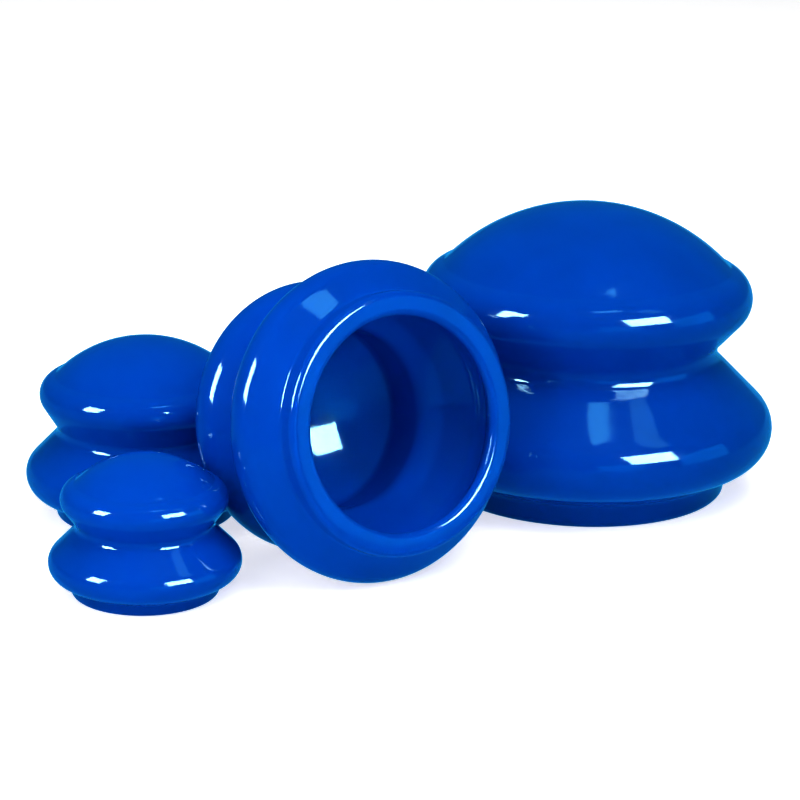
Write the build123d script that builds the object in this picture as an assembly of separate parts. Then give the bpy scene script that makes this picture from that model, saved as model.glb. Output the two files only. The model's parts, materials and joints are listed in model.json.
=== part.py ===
from build123d import *
from dataclasses import dataclass
from math import asin, atan2, cos, degrees, hypot, pi, radians, sin, sqrt
import os

# A set of four graded silicone cupping cups, in millimetres.
# Row frame: +Z up, table top at Z = 0, origin at the middle of the set's footprint.
# The largest cup stands at the back right, the medium cup lies on its side in front,
# and the small and mini cups stand on the left.


@dataclass
class Cup:
    """One moulding: a round body of revolution. Heights are measured from the mouth."""
    name: str
    flange_r: float      # widest radius of the lower flange
    flange_z: float      # height of the flange edge
    flange_edge: float   # rounding radius of the flange edge
    rim_r: float         # outer radius of the rim round the mouth
    mouth_r: float       # inner radius of the rim
    crease_z: float      # height of the crease between rim and flange
    waist_r: float       # radius of the groove between flange and bulb
    waist_z: float
    bulb_r: float        # widest radius of the squeeze bulb
    bulb_z: float
    bulb_edge: float     # rounding radius of the bulb edge
    crown_r: float       # radius of the crown on top of the bulb
    height: float


LARGE = Cup("large", 38.0, 13.5, 7.2, 28.9, 23.7, 3.8, 26.4, 29.2, 32.8, 39.7, 5.7, 39.5, 57.4)
MEDIUM = Cup("medium", 29.1, 10.2, 4.4, 23.6, 19.3, 3.1, 20.6, 21.1, 25.2, 29.1, 5.2, 30.3, 42.8)
SMALL = Cup("small", 23.0, 8.4, 4.6, 17.3, 14.3, 2.4, 16.9, 17.3, 20.1, 24.0, 3.6, 24.3, 34.6)
MINI = Cup("mini", 17.2, 5.9, 3.1, 13.2, 10.5, 1.7, 12.3, 12.7, 14.9, 17.6, 2.8, 18.0, 25.3)

# Where the cups are
SET_WIDTH = 146.6        # along X, small cup's flange to large cup's flange
SET_DEPTH = 121.2        # along Y, mini cup's flange to large cup's flange
SMALL_Y = 0.3
MINI_X = -46.1
MEDIUM_MOUTH_X = -0.3    # middle of the lying cup's mouth
MEDIUM_MOUTH_Y = -39.8
MEDIUM_YAW = 125.0       # plan direction from the lying cup's mouth to its crown, degrees from +X

# Proportions that all four mouldings share, as fractions of a size of the same cup
LIP_ROUND = 0.28         # lip rounding, of the lip's thickness, on each side of its flat land
CREASE_FILLET = 0.036    # of the flange radius, as are all below
WAIST_FILLET = 0.08
SHOULDER_FILLET = 0.06   # hollow where the crown meets the bulb edge
SHOULDER_SLACK = 0.0006  # the hollow's circle stands this far off both, joined by short tangents
CHAMBER_WALL = 0.17      # wall at the flange edge
CHAMBER_EDGE = 0.13      # rounding of the chamber under the flange edge
NECK_BORE = 0.575        # radius of the opening between chamber and bulb, level with the waist
NECK_FILLET = 0.12
BULB_WALL = 0.266        # wall at the bulb edge
BULB_EDGE_INSIDE = 0.05  # rounding inside the bulb, where its wall meets its ceiling
CROWN_WALL = 0.21        # wall at the crown
NECK_HALF = 0.125        # the flexing neck reaches this far below and above the waist


def tangent_normal(first, second):
    """Right-hand normal of the line that joins two signed circles (r, z, radius, sign)."""
    dr = second[0] - first[0]
    dz = second[1] - first[1]
    gap = hypot(dr, dz)
    along = (first[3] * first[2] - second[3] * second[2]) / gap
    across = sqrt(max(0.0, 1.0 - along * along))
    return (along * dr + across * dz) / gap, (along * dz - across * dr) / gap


def on_circle(circle, angle):
    """Point of a signed circle whose right-hand normal has the given angle."""
    reach = circle[3] * circle[2]
    return (circle[0] + reach * cos(angle), 0, circle[1] + reach * sin(angle))


def belt(circles, start_angle):
    """Edges of a smooth outline round signed circles, ending on the axis at the last crown."""
    angles = [start_angle]
    for first, second in zip(circles, circles[1:]):
        nr, nz = tangent_normal(first, second)
        angles.append(atan2(nz, nr))
    angles.append(pi / 2)
    edges = []
    for index, circle in enumerate(circles):
        begin = on_circle(circle, angles[index])
        middle = on_circle(circle, (angles[index] + angles[index + 1]) / 2)
        end = on_circle(circle, angles[index + 1])
        if edges:
            edges.append(Edge.make_line(edges[-1] @ 1, begin))
        edges.append(Edge.make_three_point_arc(begin, middle, end))
    return edges


def shoulder_circle(cup):
    """Hollow circle that nestles between the crown's circle and the bulb edge's circle."""
    hollow = SHOULDER_FILLET * cup.flange_r
    slack = SHOULDER_SLACK * cup.flange_r
    from_crown = cup.crown_r + hollow + slack
    from_edge = cup.bulb_edge + hollow + slack
    dr = cup.bulb_r - cup.bulb_edge
    dz = cup.bulb_z - (cup.height - cup.crown_r)
    gap = hypot(dr, dz)
    along = (from_crown**2 - from_edge**2 + gap**2) / (2 * gap)
    aside = sqrt(from_crown**2 - along**2)
    shoulder_r = (along * dr - aside * dz) / gap
    shoulder_z = (along * dz + aside * dr) / gap
    return (shoulder_r, cup.height - cup.crown_r + shoulder_z, hollow, -1)


def outer_circles(cup):
    """Rounding circles of the outside: +1 swells outward, -1 is a hollow."""
    lip = LIP_ROUND * (cup.rim_r - cup.mouth_r)
    crease = CREASE_FILLET * cup.flange_r
    waist = WAIST_FILLET * cup.flange_r
    return [
        (cup.rim_r - lip, lip, lip, 1),
        (cup.rim_r + crease, cup.crease_z, crease, -1),
        (cup.flange_r - cup.flange_edge, cup.flange_z, cup.flange_edge, 1),
        (cup.waist_r + waist, cup.waist_z, waist, -1),
        (cup.bulb_r - cup.bulb_edge, cup.bulb_z, cup.bulb_edge, 1),
        shoulder_circle(cup),
        (0, cup.height - cup.crown_r, cup.crown_r, 1),
    ]


def inner_circles(cup):
    """Rounding circles of the hollow, from the lip to the inside of the crown."""
    size = cup.flange_r
    lip = LIP_ROUND * (cup.rim_r - cup.mouth_r)
    chamber = CHAMBER_EDGE * size
    neck = NECK_FILLET * size
    bulb = BULB_EDGE_INSIDE * size
    crown = cup.crown_r - CROWN_WALL * size
    return [
        (cup.mouth_r + lip, lip, lip, -1),
        ((1 - CHAMBER_WALL) * size - chamber, cup.flange_z, chamber, 1),
        (NECK_BORE * size + neck, cup.waist_z, neck, -1),
        (cup.bulb_r - BULB_WALL * size - bulb, cup.bulb_z, bulb, 1),
        (0, cup.height - CROWN_WALL * size - crown, crown, 1),
    ]


def wall_section(cup):
    """Half section of the whole moulding on the XZ plane."""
    outside = belt(outer_circles(cup), -pi / 2)
    inside = belt(inner_circles(cup), pi / 2)
    land = Edge.make_line(inside[0] @ 0, outside[0] @ 0)
    crown = Edge.make_line(inside[-1] @ 1, outside[-1] @ 1)
    return make_face(Wire(outside + inside + [land, crown]))


def band(cup, low, high):
    """Rectangle on the XZ plane from the axis past the widest radius."""
    width = 2 * cup.flange_r
    return Plane.XZ * Pos(width / 2, (low + high) / 2) * Rectangle(width, high - low)


def neck_range(cup):
    """Heights where the flexing neck begins and ends."""
    half = NECK_HALF * cup.flange_r
    return cup.waist_z - half, cup.waist_z + half


def mouldings(cup):
    """The cup's three zones, cut from one moulding: flange, neck and bulb, face to face."""
    section = wall_section(cup)
    low, high = neck_range(cup)
    zones = {"flange": (-1, low), "neck": (low, high), "bulb": (high, cup.height + 1)}
    return {zone: revolve(section & band(cup, *ends), Axis.Z) for zone, ends in zones.items()}


def rest_on_side(cup):
    """Nose-down tilt in degrees and mouth height of a cup that lies on its flange and bulb edges."""
    flange, bulb = outer_circles(cup)[2], outer_circles(cup)[4]
    dz = bulb[1] - flange[1]
    dr = bulb[0] - flange[0]
    gap = hypot(dz, dr)
    along = (flange[2] - bulb[2]) / gap
    across = sqrt(1 - along * along)
    down_z = (along * dz - across * dr) / gap
    down_r = (along * dr + across * dz) / gap
    mouth_height = down_z * flange[1] + down_r * flange[0] + flange[2]
    return degrees(asin(down_z)), mouth_height


def placements():
    """Each cup with the location of its mouth's middle."""
    tilt, mouth_height = rest_on_side(MEDIUM)
    large_at = Pos(SET_WIDTH / 2 - LARGE.flange_r, SET_DEPTH / 2 - LARGE.flange_r, 0)
    small_at = Pos(SMALL.flange_r - SET_WIDTH / 2, SMALL_Y, 0)
    mini_at = Pos(MINI_X, MINI.flange_r - SET_DEPTH / 2, 0)
    lying = Rot(0, 0, MEDIUM_YAW) * Rot(0, 90 + tilt, 0)
    medium_at = Pos(MEDIUM_MOUTH_X, MEDIUM_MOUTH_Y, mouth_height) * lying
    return [(LARGE, large_at), (MEDIUM, medium_at), (SMALL, small_at), (MINI, mini_at)]


def build():
    """All nodes by name, in the row frame."""
    nodes = {}
    for cup, place in placements():
        for zone, solid in mouldings(cup).items():
            nodes[f"{cup.name}_{zone}"] = place * solid
    return nodes


os.makedirs("parts", exist_ok=True)
for node, shape in build().items():
    export_step(shape, f"parts/{node}.step")
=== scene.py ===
import json
import math

import bmesh
import bpy
from mathutils import Matrix, Vector


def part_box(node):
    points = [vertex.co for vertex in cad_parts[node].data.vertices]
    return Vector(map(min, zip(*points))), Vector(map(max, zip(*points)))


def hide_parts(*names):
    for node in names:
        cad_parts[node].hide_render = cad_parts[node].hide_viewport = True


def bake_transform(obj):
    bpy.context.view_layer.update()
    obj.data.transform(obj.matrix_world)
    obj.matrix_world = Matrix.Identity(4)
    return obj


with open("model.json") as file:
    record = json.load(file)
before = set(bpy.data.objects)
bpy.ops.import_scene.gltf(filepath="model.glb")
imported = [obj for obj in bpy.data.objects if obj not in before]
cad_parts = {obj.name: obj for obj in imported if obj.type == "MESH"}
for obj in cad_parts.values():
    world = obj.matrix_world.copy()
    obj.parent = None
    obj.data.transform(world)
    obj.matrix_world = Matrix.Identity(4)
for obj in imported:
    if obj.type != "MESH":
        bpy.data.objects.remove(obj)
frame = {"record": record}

# Looks of a set of four blue silicone cupping cups.
# Cup sizes are in millimetres, as in the CAD source. Everything else is in metres.

MM = 0.001

# Each cup: flange (radius, height, edge rounding), rim (outer, mouth radius, crease height),
# waist (radius, height), bulb (radius, height, edge rounding), crown (rounding, total height),
# and the length along the axis that folds when the bulb is pressed.
CUPS = {
    "large": {
        "flange": (38.0, 13.5, 7.2),
        "rim": (28.9, 23.7, 3.8),
        "waist": (26.4, 29.2),
        "bulb": (32.8, 39.7, 5.7),
        "crown": (39.5, 57.4),
        "fold": 15.0,
    },
    "medium": {
        "flange": (29.1, 10.2, 4.4),
        "rim": (23.6, 19.3, 3.1),
        "waist": (20.6, 21.1),
        "bulb": (25.2, 29.1, 5.2),
        "crown": (30.3, 42.8),
        "fold": 11.5,
    },
    "small": {
        "flange": (23.0, 8.4, 4.6),
        "rim": (17.3, 14.3, 2.4),
        "waist": (16.9, 17.3),
        "bulb": (20.1, 24.0, 3.6),
        "crown": (24.3, 34.6),
        "fold": 8.9,
    },
    "mini": {
        "flange": (17.2, 5.9, 3.1),
        "rim": (13.2, 10.5, 1.7),
        "waist": (12.3, 12.7),
        "bulb": (14.9, 17.6, 2.8),
        "crown": (18.0, 25.3),
        "fold": 6.4,
    },
}

# Proportions that all four mouldings share, as fractions of the flange radius
LIP_ROUND = 0.28         # this one is a fraction of the lip's thickness
CREASE_FILLET = 0.036
WAIST_FILLET = 0.08
SHOULDER_FILLET = 0.06   # hollow where the crown meets the bulb edge
SHOULDER_REACH = 0.0606  # the hollow's radius and its small gap to the crown and to the bulb edge
CHAMBER_RADIUS = 0.83    # inside of the flange edge
CHAMBER_EDGE = 0.13
NECK_BORE = 0.575        # opening between chamber and bulb
NECK_FILLET = 0.12
BULB_WALL = 0.266
BULB_EDGE_INSIDE = 0.05
CROWN_WALL = 0.21

AROUND = 176             # mesh columns round a cup
STEP = 1 / 27            # mesh step along the outline, of the flange radius
ARC_STEP = 0.13          # largest turn between two outline points, in radians

SET_MIDDLE = Vector((0, 0, 0.03))
WINDOW_DISTANCE = 1.0
WHITE = (1, 1, 1, 1)
PALE_GLOW = (0.35, 0.85, 1.0)    # soft overhead panels
PALE_BEAM = (0.7, 1.0, 0.8)      # light that shines into the lying cup
DIM_GLOW = (0.03, 0.50, 1.0)     # dim surroundings, as the deep blue gloss shows them
CAMERA_AT = Vector((-0.00135, -0.4746, 0.1642))
CAMERA_PITCH = math.radians(16.53)
CAMERA_ROLL = math.radians(1.01)


# ---- outline of one cup -------------------------------------------------------------

def shoulder_circle(cup):
    """Hollow circle that nestles between the crown's circle and the bulb edge's circle."""
    size = cup["flange"][0]
    bulb_r, bulb_z, bulb_edge = cup["bulb"]
    crown_r, height = cup["crown"]
    hollow = SHOULDER_FILLET * size
    from_crown = crown_r + SHOULDER_REACH * size
    from_edge = bulb_edge + SHOULDER_REACH * size
    dr = bulb_r - bulb_edge
    dz = bulb_z - (height - crown_r)
    gap = math.hypot(dr, dz)
    along = (from_crown**2 - from_edge**2 + gap**2) / (2 * gap)
    aside = math.sqrt(from_crown**2 - along**2)
    shoulder_r = (along * dr - aside * dz) / gap
    shoulder_z = (along * dz + aside * dr) / gap
    return (shoulder_r, height - crown_r + shoulder_z, hollow, -1)


def outer_circles(cup):
    """Rounding circles (r, z, radius, sign) of the outside: +1 swells outward, -1 is a hollow."""
    size = cup["flange"][0]
    lip = LIP_ROUND * (cup["rim"][0] - cup["rim"][1])
    crease = CREASE_FILLET * size
    waist = WAIST_FILLET * size
    return [
        (cup["rim"][0] - lip, lip, lip, 1),
        (cup["rim"][0] + crease, cup["rim"][2], crease, -1),
        (size - cup["flange"][2], cup["flange"][1], cup["flange"][2], 1),
        (cup["waist"][0] + waist, cup["waist"][1], waist, -1),
        (cup["bulb"][0] - cup["bulb"][2], cup["bulb"][1], cup["bulb"][2], 1),
        shoulder_circle(cup),
        (0, cup["crown"][1] - cup["crown"][0], cup["crown"][0], 1),
    ]


def inner_circles(cup):
    """Rounding circles of the hollow, from the lip to the inside of the crown."""
    size = cup["flange"][0]
    lip = LIP_ROUND * (cup["rim"][0] - cup["rim"][1])
    chamber = CHAMBER_EDGE * size
    neck = NECK_FILLET * size
    bulb = BULB_EDGE_INSIDE * size
    crown = cup["crown"][0] - CROWN_WALL * size
    return [
        (cup["rim"][1] + lip, lip, lip, -1),
        (CHAMBER_RADIUS * size - chamber, cup["flange"][1], chamber, 1),
        (NECK_BORE * size + neck, cup["waist"][1], neck, -1),
        (cup["bulb"][0] - BULB_WALL * size - bulb, cup["bulb"][1], bulb, 1),
        (0, cup["crown"][1] - CROWN_WALL * size - crown, crown, 1),
    ]


def normal_angle(first, second):
    """Angle of the right-hand normal of the line that joins two signed circles."""
    dr = second[0] - first[0]
    dz = second[1] - first[1]
    gap = math.hypot(dr, dz)
    along = (first[3] * first[2] - second[3] * second[2]) / gap
    across = math.sqrt(max(0.0, 1 - along * along))
    return math.atan2(along * dz - across * dr, along * dr + across * dz)


def belt_points(circles, start_angle, step):
    """Points of the smooth outline round signed circles, ending on the axis."""
    angles = [start_angle]
    for first, second in zip(circles, circles[1:]):
        angles.append(normal_angle(first, second))
    angles.append(math.pi / 2)
    points = []
    for index, (r, z, radius, sign) in enumerate(circles):
        begin = angles[index]
        turn = angles[index + 1] - begin
        parts = max(2, math.ceil(abs(turn) / ARC_STEP), math.ceil(abs(turn) * radius / step))
        arc = []
        for part in range(parts + 1):
            angle = begin + turn * part / parts
            arc.append((r + sign * radius * math.cos(angle), z + sign * radius * math.sin(angle)))
        if points:
            points += between(points[-1], arc[0], step)
        points += arc
    points[-1] = (0.0, points[-1][1])
    return points


def between(first, second, step):
    """Evenly spaced points strictly between two points."""
    length = math.hypot(second[0] - first[0], second[1] - first[1])
    parts = max(1, math.ceil(length / step))
    inside = []
    for part in range(1, parts):
        share = part / parts
        inside.append((
            first[0] + (second[0] - first[0]) * share,
            first[1] + (second[1] - first[1]) * share,
        ))
    return inside


def outline(cup):
    """The whole wall's outline from the outer crown, down, over the rim and up to the inner crown."""
    step = STEP * cup["flange"][0]
    outside = belt_points(outer_circles(cup), -math.pi / 2, step)
    inside = belt_points(inner_circles(cup), math.pi / 2, step)
    land = between(outside[0], inside[0], step)
    return outside[::-1] + land + inside


# ---- a cup's place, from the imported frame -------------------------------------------

def cup_nodes(name):
    """The CAD nodes of one cup."""
    return [f"{name}_flange", f"{name}_neck", f"{name}_bulb"]


def cup_axis(name):
    """Unit direction from the mouth to the crown: the reverse of the rim face's mount axis."""
    for mount in frame["record"]["mounts"]:
        if mount["name"] == f"{name}_rim_face":
            return -Vector(mount["axis"]).normalized()
    return Vector((0, 0, 1))


def mouth_centre(name, cup, axis):
    """Middle of the mouth plane: where the round outline fits the box of the cup's CAD nodes."""
    boxes = [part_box(node) for node in cup_nodes(name)]
    points = outline(cup)
    centre = []
    for k in range(3):
        tilt = axis[k]
        side = math.sqrt(max(0.0, 1 - tilt * tilt))
        high = max(z * tilt + r * side for r, z in points) * MM
        low = min(z * tilt - r * side for r, z in points) * MM
        box_high = max(box[1][k] for box in boxes)
        box_low = min(box[0][k] for box in boxes)
        centre.append((box_high - high + box_low - low) / 2)
    return Vector(centre)


def cup_matrix(name, cup):
    """Places a cup whose mouth is at the origin and whose crown is above it."""
    axis = cup_axis(name)
    place = Matrix.Translation(mouth_centre(name, cup, axis))
    return place @ axis.to_track_quat("Z", "Y").to_matrix().to_4x4()


# ---- the skin -----------------------------------------------------------------------

def lathe(name, points):
    """Closed smooth skin of revolution, in metres, about the cup's own Z axis."""
    made = bmesh.new()
    rings = []
    for r, z in points:
        if r < 1e-6:
            rings.append([made.verts.new((0, 0, z * MM))])
            continue
        ring = []
        for column in range(AROUND):
            angle = 2 * math.pi * column / AROUND
            ring.append(made.verts.new((r * math.cos(angle) * MM, r * math.sin(angle) * MM, z * MM)))
        rings.append(ring)
    for upper, lower in zip(rings, rings[1:]):
        for column in range(AROUND):
            after = (column + 1) % AROUND
            corners = [upper[column % len(upper)], lower[column % len(lower)]]
            corners += [lower[after % len(lower)], upper[after % len(upper)]]
            unique = []
            for corner in corners:
                if corner not in unique:
                    unique.append(corner)
            made.faces.new(unique)
    bmesh.ops.recalc_face_normals(made, faces=made.faces)
    for face in made.faces:
        face.smooth = True
    mesh = bpy.data.meshes.new(name)
    made.to_mesh(mesh)
    made.free()
    piece = bpy.data.objects.new(name, mesh)
    bpy.context.scene.collection.objects.link(piece)
    return piece


def make_cup(name, cup, material):
    """One moulded cup: one smooth skin over the base, the waist and the top body, shown in place of
    its CAD nodes.
    """
    matrix = cup_matrix(name, cup)
    piece = lathe(f"{name}_cup_skin", outline(cup))
    piece.data.transform(matrix)
    piece.data.materials.append(material)
    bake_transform(piece)
    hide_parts(*cup_nodes(name))
    return piece


# ---- silicone -----------------------------------------------------------------------

def link(tree, source, output, target, socket):
    """Joins one node's output to another node's input."""
    tree.links.new(source.outputs[output], target.inputs[socket])


def noise(tree, coordinates, scale, detail):
    """A noise texture in the row frame's metres."""
    node = tree.nodes.new("ShaderNodeTexNoise")
    node.inputs["Scale"].default_value = scale
    node.inputs["Detail"].default_value = detail
    link(tree, coordinates, "Object", node, "Vector")
    return node


def spread(tree, source, low, high):
    """Maps a noise to a value range."""
    node = tree.nodes.new("ShaderNodeMapRange")
    node.inputs["From Min"].default_value = 0.3
    node.inputs["From Max"].default_value = 0.7
    node.inputs["To Min"].default_value = low
    node.inputs["To Max"].default_value = high
    link(tree, source, "Fac", node, "Value")
    return node


def bump(tree, source, distance, below=None):
    """A relief of that height in metres, on top of the relief below it."""
    node = tree.nodes.new("ShaderNodeBump")
    node.inputs["Strength"].default_value = 1.0
    node.inputs["Distance"].default_value = distance
    link(tree, source, "Fac", node, "Height")
    if below is not None:
        link(tree, below, "Normal", node, "Normal")
    return node


def silicone():
    """Glossy deep blue silicone with a faintly uneven moulded surface."""
    material = bpy.data.materials.new("blue_silicone_gloss")
    material.use_nodes = True
    tree = material.node_tree
    shader = tree.nodes["Principled BSDF"]
    coordinates = tree.nodes.new("ShaderNodeTexCoord")
    cloudy = noise(tree, coordinates, 60, 3)
    tone = tree.nodes.new("ShaderNodeValToRGB")
    tone.color_ramp.elements[0].position = 0.35
    tone.color_ramp.elements[0].color = (0.0, 0.074, 0.46, 1)
    tone.color_ramp.elements[1].position = 0.65
    tone.color_ramp.elements[1].color = (0.0, 0.083, 0.52, 1)
    link(tree, cloudy, "Fac", tone, "Fac")
    link(tree, tone, "Color", shader, "Base Color")
    fine = noise(tree, coordinates, 900, 2)
    gloss = spread(tree, fine, 0.055, 0.095)
    link(tree, gloss, "Result", shader, "Roughness")
    wavy = noise(tree, coordinates, 95, 1)
    waves = bump(tree, wavy, 0.00010)
    grain = bump(tree, fine, 0.000004, waves)
    link(tree, grain, "Normal", shader, "Normal")
    shader.inputs["IOR"].default_value = 1.41
    shader.inputs["Specular Tint"].default_value = (0.36, 0.85, 1.0, 1)
    shader.inputs["Subsurface Weight"].default_value = 0.15
    shader.inputs["Subsurface Radius"].default_value = (0.2, 0.5, 1.0)
    shader.inputs["Subsurface Scale"].default_value = 0.003
    return material


# ---- stage, light and camera --------------------------------------------------------

def pale_paint():
    """Matt white floor paint, lifted to the camera and dim in the gloss."""
    paint = bpy.data.materials.new("pale_floor")
    paint.use_nodes = True
    tree = paint.node_tree
    shader = tree.nodes["Principled BSDF"]
    shader.inputs["Base Color"].default_value = (0.90, 0.90, 0.90, 1)
    shader.inputs["Roughness"].default_value = 0.9
    shader.inputs["Specular IOR Level"].default_value = 0.1
    shader.inputs["Emission Color"].default_value = (1, 1, 1, 1)
    path = tree.nodes.new("ShaderNodeLightPath")
    lift = tree.nodes.new("ShaderNodeMath")
    lift.operation = "MULTIPLY"
    lift.inputs[1].default_value = 0.70
    link(tree, path, "Is Camera Ray", lift, 0)
    link(tree, lift, "Value", shader, "Emission Strength")
    mirrored = tree.nodes.new("ShaderNodeEmission")
    mirrored.inputs["Color"].default_value = (*DIM_GLOW, 1)
    mirrored.inputs["Strength"].default_value = 1.0
    choice = tree.nodes.new("ShaderNodeMixShader")
    link(tree, path, "Is Glossy Ray", choice, "Fac")
    link(tree, shader, "BSDF", choice, 1)
    link(tree, mirrored, "Emission", choice, 2)
    link(tree, choice, "Shader", tree.nodes["Material Output"], "Surface")
    return paint


def make_floor():
    """A plain pale floor under the set."""
    mesh = bpy.data.meshes.new("floor")
    reach = 3.0
    corners = [(-reach, -reach, 0), (reach, -reach, 0), (reach, reach, 0), (-reach, reach, 0)]
    mesh.from_pydata(corners, [], [(0, 1, 2, 3)])
    floor = bpy.data.objects.new("floor", mesh)
    bpy.context.scene.collection.objects.link(floor)
    mesh.materials.append(pale_paint())
    return floor


def direction(azimuth, elevation):
    """Unit vector; azimuth 0 is towards the viewer (-Y) and grows towards +X, in degrees."""
    a = math.radians(azimuth)
    e = math.radians(elevation)
    return Vector((math.sin(a) * math.cos(e), -math.cos(a) * math.cos(e), math.sin(e)))


def softbox(name, azimuth, elevation, distance, width, height, radiance):
    """A rectangular area light of that radiance that faces the middle of the set."""
    light = bpy.data.lights.new(name, "AREA")
    light.shape = "RECTANGLE"
    light.size = width
    light.size_y = height
    light.energy = radiance * math.pi * width * height
    lamp = bpy.data.objects.new(name, light)
    bpy.context.scene.collection.objects.link(lamp)
    away = direction(azimuth, elevation)
    lamp.location = SET_MIDDLE + away * distance
    lamp.rotation_mode = "QUATERNION"
    lamp.rotation_quaternion = away.to_track_quat("Z", "Y")
    lamp.visible_camera = False
    return lamp


def window(name, azimuth, elevation, width, height, radiance):
    """A softbox that is seen mirrored in the gloss and does not brighten the colour."""
    lamp = softbox(name, azimuth, elevation, WINDOW_DISTANCE, width, height, radiance)
    lamp.visible_diffuse = False
    return lamp


def tinted_window(name, azimuth, elevation, width, height, radiance, color):
    """A dimmer window of that colour."""
    lamp = window(name, azimuth, elevation, width, height, radiance)
    lamp.data.color = color
    return lamp


def fill(name, azimuth, elevation, distance, size, radiance):
    """A square soft light that brightens the colour and is not mirrored in the gloss."""
    lamp = softbox(name, azimuth, elevation, distance, size, size, radiance)
    lamp.visible_glossy = False
    return lamp


def mouth_beam(name, distance, size, radiance):
    """A narrow pale beam along a lying cup's axis into its hollow."""
    axis = cup_axis(name)
    lamp = fill("into_mouth", 0, 0, distance, size, radiance)
    lamp.location = mouth_centre(name, CUPS[name], axis) - axis * distance
    lamp.rotation_quaternion = (-axis).to_track_quat("Z", "Y")
    lamp.data.spread = math.radians(8)
    lamp.data.color = PALE_BEAM
    return lamp


def make_lights():
    """Two windows, dim panels round them, and soft fills that the gloss does not show."""
    window("window_right", 44, 28, 0.51, 0.41, 75)
    window("window_left", -59, 28, 0.30, 0.41, 75)
    tinted_window("overhead", 36, 73, 0.24, 0.12, 8, PALE_GLOW)
    tinted_window("overhead_right", 70, 57, 0.16, 0.24, 3, PALE_GLOW)
    tinted_window("wall_right", 76, 10, 0.60, 0.50, 3.5, DIM_GLOW)
    tinted_window("wall_front", 22, 6, 0.50, 0.34, 2.8, DIM_GLOW)
    fill("key_right", 32, 60, 0.60, 0.40, 5.2)
    fill("key_left", -40, 28, 0.35, 0.23, 2.9)
    fill("top_left", -60, 60, 0.60, 0.40, 0.7)
    fill("front", -12, 25, 0.20, 0.12, 1.0)
    fill("back", 180, 50, 0.80, 0.60, 1.4)
    mouth_beam("medium", 0.30, 0.03, 0.8)


def background(tree, color, strength):
    """A world background of that colour and strength."""
    node = tree.nodes.new("ShaderNodeBackground")
    node.inputs["Color"].default_value = color
    node.inputs["Strength"].default_value = strength
    return node


def front_to_back(tree, front, back):
    """A brightness that grows from the viewer's side of the studio to the far side."""
    coordinates = tree.nodes.new("ShaderNodeTexCoord")
    split = tree.nodes.new("ShaderNodeSeparateXYZ")
    ramp = tree.nodes.new("ShaderNodeMapRange")
    ramp.interpolation_type = "SMOOTHSTEP"
    ramp.inputs["From Min"].default_value = -0.8
    ramp.inputs["From Max"].default_value = 0.4
    ramp.inputs["To Min"].default_value = front
    ramp.inputs["To Max"].default_value = back
    link(tree, coordinates, "Generated", split, "Vector")
    link(tree, split, "Y", ramp, "Value")
    return ramp


def make_surroundings():
    """White to the camera, a soft light on the colour, and dimmer in the gloss."""
    world = bpy.data.worlds.new("studio")
    bpy.context.scene.world = world
    world.use_nodes = True
    tree = world.node_tree
    tree.nodes.clear()
    output = tree.nodes.new("ShaderNodeOutputWorld")
    seen = background(tree, WHITE, 1.0)
    lighting = background(tree, WHITE, 0.05)
    mirrored = background(tree, (*DIM_GLOW, 1), 1.0)
    shade = front_to_back(tree, 0.12, 0.45)
    link(tree, shade, "Result", mirrored, "Strength")
    path = tree.nodes.new("ShaderNodeLightPath")
    inner = tree.nodes.new("ShaderNodeMixShader")
    outer = tree.nodes.new("ShaderNodeMixShader")
    link(tree, path, "Is Glossy Ray", inner, "Fac")
    link(tree, lighting, "Background", inner, 1)
    link(tree, mirrored, "Background", inner, 2)
    link(tree, path, "Is Camera Ray", outer, "Fac")
    link(tree, inner, "Shader", outer, 1)
    link(tree, seen, "Background", outer, 2)
    link(tree, outer, "Shader", output, "Surface")


def make_camera():
    """The photograph's viewing angle: in front of the set, looking down on it a little."""
    data = bpy.data.cameras.new("camera")
    data.sensor_width = 36
    data.lens = 116.06
    camera = bpy.data.objects.new("camera", data)
    bpy.context.scene.collection.objects.link(camera)
    level = Vector((1, 0, 0))
    upright = Vector((0, math.sin(CAMERA_PITCH), math.cos(CAMERA_PITCH)))
    ahead = Vector((0, math.cos(CAMERA_PITCH), -math.sin(CAMERA_PITCH)))
    right = math.cos(CAMERA_ROLL) * level + math.sin(CAMERA_ROLL) * upright
    up = math.cos(CAMERA_ROLL) * upright - math.sin(CAMERA_ROLL) * level
    turn = Matrix((right, up, -ahead)).transposed()
    camera.matrix_world = Matrix.Translation(CAMERA_AT) @ turn.to_4x4()
    bpy.context.scene.camera = camera
    return camera


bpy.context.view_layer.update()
rubber = silicone()
for cup_name, cup_sizes in CUPS.items():
    make_cup(cup_name, cup_sizes, rubber)
make_floor()
make_lights()
make_surroundings()
make_camera()
bpy.context.scene.view_settings.view_transform = "Standard"
bpy.context.scene.view_settings.gamma = 0.8
bpy.context.view_layer.update()
